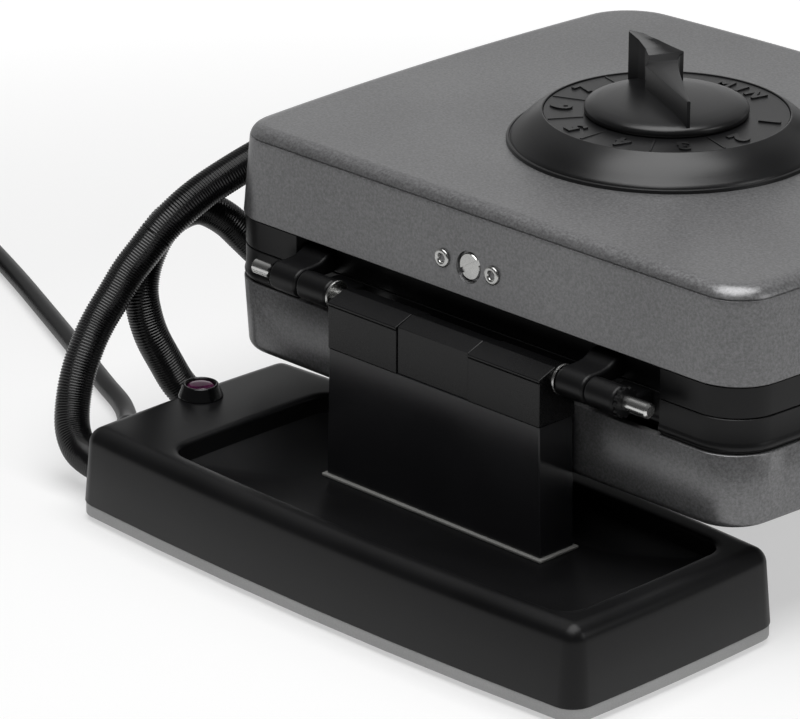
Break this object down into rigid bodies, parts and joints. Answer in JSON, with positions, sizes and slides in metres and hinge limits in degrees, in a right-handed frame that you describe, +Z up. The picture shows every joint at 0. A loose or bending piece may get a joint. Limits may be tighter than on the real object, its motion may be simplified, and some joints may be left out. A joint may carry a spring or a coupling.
{
  "type": "waffle maker",
  "caption": "Flip-over waffle maker: hinged cast halves turn over on a column above a low base, with a thermostat dial, a lamp, two hoses and a mains cord.",
  "frame": {"origin": "middle of the four feet at table level, under the stand", "axes": "+Z up, -Y towards the user and the front of the iron, +X towards the end of the base that the hoses and cord leave"},
  "size_m": [0.6407, 0.4007, 0.2148],
  "materials": {
    "base_black": "satin",
    "plate_grey": "satin",
    "foot_rubber": "matte",
    "plated_steel": "satin",
    "pin_steel": "polished",
    "gasket_grey": "matte",
    "column_black": "gloss",
    "bezel_black": "gloss",
    "lamp_lens": "gloss",
    "neon_glass": "clear",
    "ceramic": "matte",
    "hose_black": "satin",
    "gland_black": "matte",
    "cord_rubber": "matte",
    "frame_black": "satin",
    "shell_grey": "satin",
    "plate_aluminium": "cast",
    "element_steel": "matte",
    "reflector_steel": "bright",
    "grip_black": "satin"
  },
  "bodies": {
    "stand": {"base_cover": "base_black", "base_plate": "plate_grey", "rubber_feet": "foot_rubber", "base_screws": "plated_steel", "column_anchor": "plated_steel", "column_gasket": "gasket_grey", "column": "column_black", "tie_bolts": "plated_steel", "hinge_cap_left": "column_black", "hinge_cap_right": "column_black", "hinge_centre_block": "column_black", "hinge_pin": "pin_steel", "hinge_washers": "plated_steel", "pin_clips": "plated_steel", "lamp_bezel": "bezel_black", "lamp_lens": "lamp_lens", "neon_lamp": "neon_glass", "terminal_block": "ceramic", "hose_glands": "gland_black", "cord_gland": "gland_black", "upper_hose": "hose_black", "lower_hose": "hose_black", "power_cord": "cord_rubber", "cord_coil": "cord_rubber", "plug_lead": "cord_rubber", "mains_plug": "cord_rubber"},
    "lower_iron": {"lower_frame": "frame_black", "lower_shell": "shell_grey", "lower_waffle_plate": "plate_aluminium", "lower_element": "element_steel", "lower_reflector": "reflector_steel", "lower_shell_screws": "plated_steel", "lower_fitting": "gland_black", "lower_bracket": "plated_steel", "lower_grip": "grip_black", "lower_leg": "grip_black"},
    "upper_iron": {"upper_frame": "frame_black", "upper_shell": "shell_grey", "upper_waffle_plate": "plate_aluminium", "upper_element": "element_steel", "upper_reflector": "reflector_steel", "reflector_screws": "plated_steel", "upper_fitting": "gland_black", "upper_bracket": "plated_steel", "upper_grip": "grip_black", "upper_leg": "grip_black", "shell_screw": "plated_steel", "shell_rivets": "plated_steel", "thermostat": "ceramic", "thermostat_nut": "plated_steel", "dial_bezel": "shell_grey", "scale_ring": "shell_grey"},
    "knob": {"thermostat_shaft": "plated_steel", "thermostat_knob": "shell_grey"}
  },
  "joints": [
    {"name": "iron_swing", "type": "hinge", "parent": "stand", "child": "lower_iron", "pos_m": [0, -0.018, 0.0944], "axis": [-1, 0, 0], "range_deg": [0, 175], "deforming": ["upper_hose", "lower_hose"]},
    {"name": "lid_open", "type": "hinge", "parent": "lower_iron", "child": "upper_iron", "pos_m": [0, -0.018, 0.0944], "axis": [-1, 0, 0], "range_deg": [0, 175], "deforming": ["upper_hose"]},
    {"name": "dial_turn", "type": "hinge", "parent": "upper_iron", "child": "knob", "pos_m": [0, -0.1385, 0.15], "axis": [0, 0, 1], "range_deg": [-146.4, 115.8]}
  ]
}
